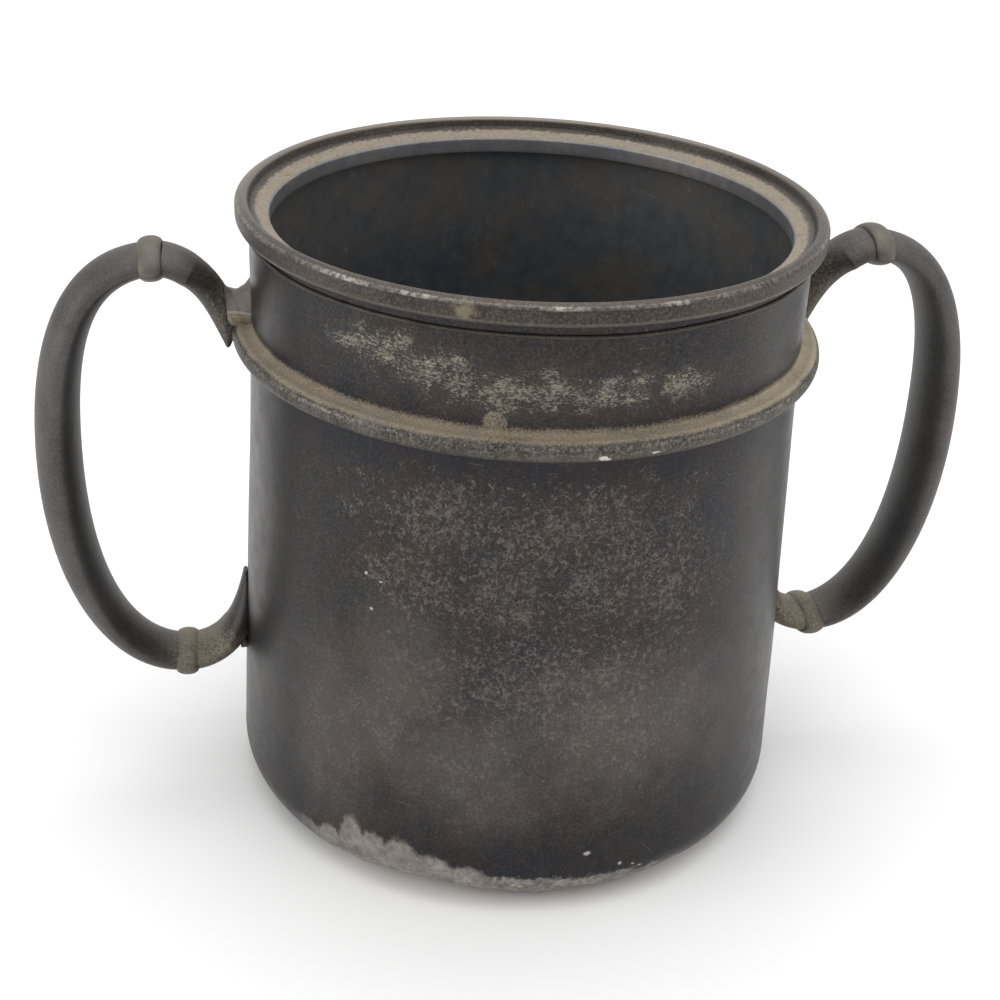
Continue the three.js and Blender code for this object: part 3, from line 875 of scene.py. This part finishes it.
def wall_outside():
    """Blue-black and brown tarnish with a fine grain; the front of the neck is
    rubbed, the front of the body pitted, and the foot shows pale solder."""
    material, b, at, here = new_material("tarnished_wall")
    flat = at["Unrolled"]

    cloud = b.use(BLOTCH, here, size=30.0, contrast=1.2)
    small = b.use(BLOTCH, here, size=5.0)
    moved = b.stretch(here, (1, 1, 1), (40, 7, 3))
    rusty = b.use(BLOTCH, moved, size=11.0, contrast=1.7)
    grain = b.noise(here, 1.7, 4, 0.75)
    base = b.mix(cloud, "1b222a", "282728")
    base = b.over(base, "3d2c26", rusty, 0.45)
    base = b.over(base, "403e3d", small, 0.35)
    base = b.mix(b.step(grain, 0.42, 0.75, 0.0, 0.5), base, "5f5b56")

    light = patches(b, at, LIGHT_AREAS, soft=0.95, ragged=0.8, size=12.0)
    mottle = b.use(WORN, here, size=0.8, amount=0.9)
    base = b.mix(b.mul(light, b.add(0.35, b.mul(mottle, 0.4))), base, "726c67")

    shade = b.step(b.add(at["Height"], b.mul(cloud, 5)), 115, 124)
    shade = b.mul(shade, b.step(at["Height"], GIRDLE_Z + 1, GIRDLE_Z))
    # Painted shade: the body darker towards the foot, except at the left front.
    low = b.mul(b.step(b.add(at["Height"], b.mul(cloud, 8)), 32, 20), b.step(at["Angle"], -130, -105))
    base = b.mix(b.most(b.mul(shade, 0.55), b.mul(low, 0.3)), base, "23262b")

    necks = patches(b, at, NECK_RUBS, soft=0.9, ragged=0.9, size=6.0)
    rubbed = b.use(WORN, b.stretch(here, (0.7, 0.7, 1.2)), size=0.5,
                   amount=b.add(0.3, b.mul(necks, 0.85)))
    brush = b.noise(b.stretch(flat, (0.12, 2.4, 0.0)), 1.0, 3, 0.6)
    fleck = b.mul(rubbed, b.step(necks, 0.0, 0.8), b.step(brush, 0.3, 0.6, 0.45, 1.0))
    tone = b.mix(b.noise(here, 0.7, 3, 0.6), "665f57", "b3a999")
    base = b.over(base, "534e48", necks, 0.28)
    base = b.over(base, tone, fleck, 0.85)

    body = patches(b, at, BODY_RUBS, soft=0.95, ragged=0.9, size=10.0)
    broken = b.use(BLOTCH, here, size=8.0, contrast=1.1)
    much = b.add(0.12, b.mul(body, b.add(0.5, b.mul(broken, 0.38))))
    curl = b.use(CURL, here, size=1.4, cover=much)
    small_curl = b.use(CURL, here, size=0.9, cover=b.mul(much, 0.85))
    pits = b.use(WORN, here, size=0.45, amount=b.add(0.1, b.mul(much, 0.55)))
    marks = b.most(b.mul(curl, 0.8), b.mul(small_curl, 0.7), pits)
    marks = b.mul(marks, b.step(much, 0.0, 0.6, 0.1, 1.0))
    base = b.over(base, "4a423d", much, 0.15)
    tone = b.mix(b.noise(here, 0.7, 3, 0.6), "5c5651", "a39b93")
    base = b.over(base, tone, marks, 0.68)

    streak = b.noise(b.stretch(flat, (0.8, 0.06, 0.0)), 1.0, 4, 0.7)
    base = b.mix(b.step(streak, 0.5, 0.8, 0.0, 0.05), base, "8a8580")
    long_mark = b.use(SCRATCH, flat, turn=0.9, length=14.0, width=0.3, cover=0.3)
    flat_mark = b.use(SCRATCH, flat, turn=0.06, length=10.0, width=0.28, cover=0.3)
    lines = b.most(long_mark, flat_mark)
    base = b.over(base, "a39b93", lines, 0.3)

    foot = foot_masks(b, at)
    base = b.mix(foot, base, bare_solder(b, here))
    chips = patches(b, at, CHIPS, soft=0.5, ragged=1.2, size=0.6)
    base = b.over(base, "c4bfb7", chips, 0.75)

    settle = b.mul(b.step(at["Height"], GIRDLE_Z + 2, GIRDLE_Z + 5.6, 1.0, 0.0),
                   b.step(at["Height"], GIRDLE_Z - 1, GIRDLE_Z))
    blob = patch_mask(b, at, -107.2, 131.6, 2.4, 2.8, soft=0.15, ragged=0.2, size=2.0)
    settle = b.most(settle, b.mul(blob, 0.55))
    dust = b.use(DUST, here, amount=b.mul(settle, 0.95), grain=0.45)
    base = b.mix(dust, base, dust_colour(b, here, 2.6))

    bare = b.most(dust, b.mul(foot, 0.6))
    metallic = b.sub(0.85, b.mul(bare, 0.85), clamp=True)
    rough = b.add(0.34, b.mul(b.most(marks, foot, dust), 0.3), b.mul(small, 0.1))
    height = b.add(b.mul(fleck, 0.3), b.mul(marks, 0.4), b.mul(foot, 0.8), b.mul(grain, 0.4))
    return surface(material, b, base, metallic, rough, height, 0.22)


def dust_colour(b, here, fineness):
    """Tan dust, lighter and darker grain by grain."""
    grain = b.noise(here, fineness, 3, 0.7)
    broad = b.noise(here, 0.15, 3, 0.6)
    base = b.mix(b.step(grain, 0.35, 0.65), "6e6656", "a2967f")
    return b.mix(b.step(broad, 0.4, 0.7, 0.0, 0.5), base, "8d8479")


def wall_inside():
    """Inside of the cup: very dark, bluish, mottled."""
    material, b, _, here = new_material("dark_inside")
    cloud = b.use(BLOTCH, here, size=24.0, contrast=1.3)
    small = b.use(BLOTCH, here, size=5.0)
    spots = b.use(WORN, here, size=1.6, amount=0.55)
    base = b.mix(cloud, "5a636c", "726e6b")
    base = b.over(base, "8a8580", small, 0.4)
    base = b.over(base, "b5aca2", spots, 0.35)
    return surface(material, b, base, 0.6, 0.5, b.noise(here, 0.7, 4, 0.6), 0.2)


def rim_metal():
    """Brown-grey cast metal, worn bright on the edges, dusty in the cove, and bluish on the band
    inside. A painted highlight lies along the crown, lighter towards the back, and along the outer top
    edge with the wear; painted shade darkens the crease."""
    material, b, at, here = new_material("rim_metal")
    cloud = b.use(BLOTCH, here, size=12.0)
    small = b.use(BLOTCH, here, size=3.5, contrast=1.1)
    base = b.mix(cloud, "2d2a28", "443e39")
    grain = b.noise(here, 1.6, 4, 0.7)
    base = b.over(base, "4c3f37", small, 0.4)
    base = b.mix(b.step(grain, 0.42, 0.72, 0.0, 0.45), base, "7a736b")

    band = b.step(at["Radius"], 63.6, 63.2)
    band_colour = b.mix(cloud, "8a8d95", "a5a09c")
    base = b.mix(band, base, b.mix(b.mul(small, 0.4), band_colour, "6a6a6c"))

    # Painted highlight along the crown: strong at the back, faint at the front.
    depth = b.part(here, "Y")
    crest_highlight = b.mul(b.step(at["Height"], 159.2, 159.9), b.step(at["Radius"], 67.4, 68.0),
                  b.step(depth, -30, 50, 0.12, 0.95))
    base = b.mix(crest_highlight, base, b.mix(grain, "6e675f", "8f877e"))
    broad = b.noise(here, 0.09, 3, 0.6)
    fine = b.noise(here, 0.9, 4, 0.65)
    # Lighter along the outer top edge: worn places, with a painted highlight along the whole edge.
    edge = b.mul(b.band(at["Height"], (158.8, 159.2), (159.9, 159.6)),
                 b.step(at["Radius"], 70.0, 70.6))
    bright = patches(b, at, WORN_EDGES, soft=0.5, ragged=0.5, size=3.0)
    edge_wear_and_highlight = b.mul(edge, b.step(fine, 0.38, 0.6, 0.1, 1.0),
                 b.add(b.step(broad, 0.4, 0.65, 0.2, 0.45), b.mul(bright, 0.5)))
    base = b.mix(edge_wear_and_highlight, base, "aba59d")
    low_edge = b.mul(b.step(at["Height"], 156.3, 155.8), b.step(at["Radius"], 70.6, 70.9))
    base = b.mix(b.mul(low_edge, b.mul(fine, 0.5)), base, "8a847c")

    in_cove = b.mul(b.band(at["Radius"], (67.6, 65.4), (62.9, 63.6)),
                    b.step(at["Height"], 155.4, 156.0))
    # Painted shade in the crease between the crown and the cove.
    crease = b.band(at["Radius"], (68.3, 67.7), (66.9, 67.4))
    level = b.add(0.62, b.mul(broad, 0.5))
    dust = b.use(DUST, here, amount=b.mul(in_cove, level), grain=1.2)
    base = b.over(base, "2b2723", crease, 0.25)
    soft_dust = b.mix(0.55, dust_colour(b, here, 1.2), "9d9384")
    base = b.over(base, soft_dust, dust, 0.85)
    spot = patch_mask(b, at, -112.9, 157.7, 1.5, 1.6, soft=0.6, ragged=1.4, size=1.2)
    base = b.over(base, "8d8370", spot, 0.6)
    return surface(material, b, base, b.sub(0.75, b.mul(dust, 0.7), clamp=True),
                   b.add(0.45, b.mul(dust, 0.4)), b.add(grain, b.mul(dust, 0.5)), 0.2)


def girdle_metal():
    """Grey ring with tan dust on its upper half, paler towards the right, a ridge lighter with wear and
    a painted highlight, and a few white chips."""
    material, b, at, here = new_material("girdle_metal")
    cloud = b.use(BLOTCH, here, size=8.0)
    base = b.mix(cloud, "302d2b", "57524d")
    grain = b.noise(here, 1.6, 4, 0.75)
    base = b.mix(b.step(grain, 0.42, 0.72, 0.0, 0.6), base, "928c83")
    broad = b.noise(here, 0.05, 3, 0.6)
    upper = b.step(at["Height"], b.add(GIRDLE_Z + 0.8, broad), b.add(GIRDLE_Z + 2.0, broad))
    upper = b.mul(upper, b.step(at["Height"], DUST_TOP_Z + 0.6, DUST_TOP_Z - 2, 0.6, 1.0))
    dust = b.use(DUST, here, amount=b.mul(upper, 0.92), grain=0.42)
    pale = b.mix(b.step(at["Angle"], -80, -50, 0.08, 0.6), dust_colour(b, here, 2.6), "bdb199")
    base = b.over(base, pale, dust, 0.92)
    # Lighter line along the ridge: wear, with a painted highlight along it.
    ridge = b.mul(b.band(at["Height"], (127.3, 127.6), (128.3, 128.0)),
                  b.step(b.noise(here, 0.8, 4, 0.65), 0.42, 0.6))
    base = b.over(base, "a39b8d", ridge, 0.3)
    chips = patches(b, at, RIDGE_CHIPS, soft=0.4, ragged=1.4, size=0.7)
    base = b.over(base, "d4d0c8", chips, 0.9)
    return surface(material, b, base, b.sub(0.7, b.mul(dust, 0.7), clamp=True),
                   b.add(0.5, b.mul(dust, 0.4)), b.add(grain, b.mul(dust, 0.5)), 0.3)


def handle_metal(name="handle_metal", dark="403d3b", light="55514e"):
    """Brown-grey cast metal with fine grain; dust near the cup and by the lower knuckle, and painted
    shade, darker and bluer, on the inner side of the loop."""
    material, b, at, here = new_material(name)
    cloud = b.use(BLOTCH, here, size=14.0)
    base = b.mix(cloud, dark, light)
    grain = b.noise(here, 2.0, 3, 0.6)
    base = b.mix(b.step(grain, 0.4, 0.75, 0.0, 0.25), base, "8a8279")
    fleck = b.use(WORN, here, size=0.6, amount=0.35)
    base = b.over(base, "a39c94", fleck, 0.35)
    # Painted shade: a bluer grey laid on the inner side of the loop, nearer the cup.
    facing = b.part(at["Unrolled"], "Z")
    inner = b.mul(b.step(facing, 116, 108), b.band(at["Height"], (40, 60), (140, 120)))
    base = b.over(base, "62666b", inner, 0.3)
    near = b.most(b.mul(b.step(at["Radius"], 88, 70), b.step(at["Height"], 118, 128)),
                  b.mul(b.step(at["Radius"], 98, 84), b.step(at["Height"], 48, 40)))
    dust = b.use(DUST, here, amount=b.mul(near, 0.6), grain=0.7)
    base = b.over(base, dust_colour(b, here, 2.0), dust, 0.7)
    return surface(material, b, base, b.sub(0.65, b.mul(dust, 0.6), clamp=True),
                   b.add(0.52, b.mul(dust, 0.3)), b.noise(here, 1.0, 4, 0.6), 0.25)


def solder_metal():
    """Old solder: pale where bare at the front of the foot, brown elsewhere,
    and at the upper brackets lighter, with dust below a pale seam."""
    material, b, at, here = new_material("old_solder")
    cloud = b.use(BLOTCH, here, size=5.0)
    base = b.mix(cloud, "3d3a37", "5e5851")
    high = b.band(at["Height"], (124, 127), (149, 146))
    base = b.mix(high, base, b.mix(cloud, "665d58", "857b74"))
    seam = b.add(at["Height"], b.noise(here, 0.5, 3, 0.6))
    dusty = b.mul(high, b.step(seam, 133.0, 131.6))
    base = b.over(base, dust_colour(b, here, 2.6), dusty, 0.85)
    bead = b.mul(high, b.band(seam, (132.2, 132.5), (133.2, 132.9)))
    base = b.over(base, "b9b2a9", bead, 0.5)
    foot = b.mul(foot_masks(b, at), b.step(at["Height"], 30, 20))
    base = b.mix(foot, base, bare_solder(b, here))
    return surface(material, b, base, b.sub(0.7, b.mul(b.most(foot, high), 0.5)), 0.55,
                   b.noise(here, 0.8, 4, 0.65), 0.4, depth=0.0006)


def floor_material():
    material = bpy.data.materials.new("pale_floor")
    material.use_nodes = True
    shader = material.node_tree.nodes["Principled BSDF"].inputs
    shader["Base Color"].default_value = (FLOOR_TONE, FLOOR_TONE, FLOOR_TONE, 1)
    shader["Roughness"].default_value = 0.9
    return material


# ---------------- studio

def floor():
    """A plain pale floor."""
    half, z = FLOOR_HALF, -FLOOR_DROP
    points = np.array([[-half, -half, z], [half, -half, z], [half, half, z], [-half, half, z]])
    piece = add_mesh("floor", points, np.array([[0, 1, 2, 3]]), [floor_material()])


def area_light(name, place, size, power):
    """A square soft light at a place, turned to face the cup's middle."""
    data = bpy.data.lights.new(name, "AREA")
    data.shape = "SQUARE"
    data.size = size
    data.energy = power
    lamp = add_object(name, data)
    lamp.location = place
    direction = np.array(LIGHT_AIM, float) - np.array(place, float)
    direction /= np.linalg.norm(direction)
    lamp.rotation_euler = Euler((math.acos(-direction[2]), 0,
                                 math.atan2(direction[1], direction[0]) - math.pi / 2))


def studio():
    floor()
    scene = bpy.context.scene
    world = bpy.data.worlds.new("studio")
    world.use_nodes = True
    b = Builder(world.node_tree)
    sky = world.node_tree.nodes["Background"].inputs
    way = b.node("ShaderNodeTexCoord").outputs["Generated"]
    back = b.node("ShaderNodeVectorMath", {0: way, 1: SKY_BACK}, operation="DOT_PRODUCT")
    b.put(sky["Strength"], b.most(
        b.step(back.outputs["Value"], 0.3, 0.8, SKY_SIDES, SKY_BEHIND),
        b.step(b.part(way, "Z"), 0.3, 0.8, SKY_SIDES, SKY_ABOVE)))
    sky["Color"].default_value = (1, 1, 1, 1)
    scene.world = world
    for light in LIGHTS:
        area_light(*light)
    scene.view_settings.view_transform = "Standard"


def camera():
    data = bpy.data.cameras.new("camera")
    data.sensor_width = 36
    data.lens = CAMERA_LENS
    data.shift_x = CAMERA_SHIFT
    data.clip_start = 0.01
    piece = add_object("camera", data)
    piece.location = CAMERA_PLACE
    piece.rotation_euler = Euler([math.radians(a) for a in CAMERA_TURN])
    bpy.context.scene.camera = piece


# ---------------- assembly

outside, inside = wall_outside(), wall_inside()
solder = solder_metal()
body_wall(outside, inside)
base_plate(outside, inside)
base_bead(solder)
rim_ring(rim_metal())
solder_line("rim_seam", RIM_SEAM_TOP, "rim_solder_line", solder)
girdle_ring(girdle_metal())
solder_line("girdle_seam", GIRDLE_SEAM_TOP, "girdle_solder_line", solder)
bar, knuckle = handle_metal(), handle_metal("knuckle_metal", "524d48", "6d665f")
for side in ("right", "left"):
    handle(side, bar, knuckle, solder)

studio()
camera()
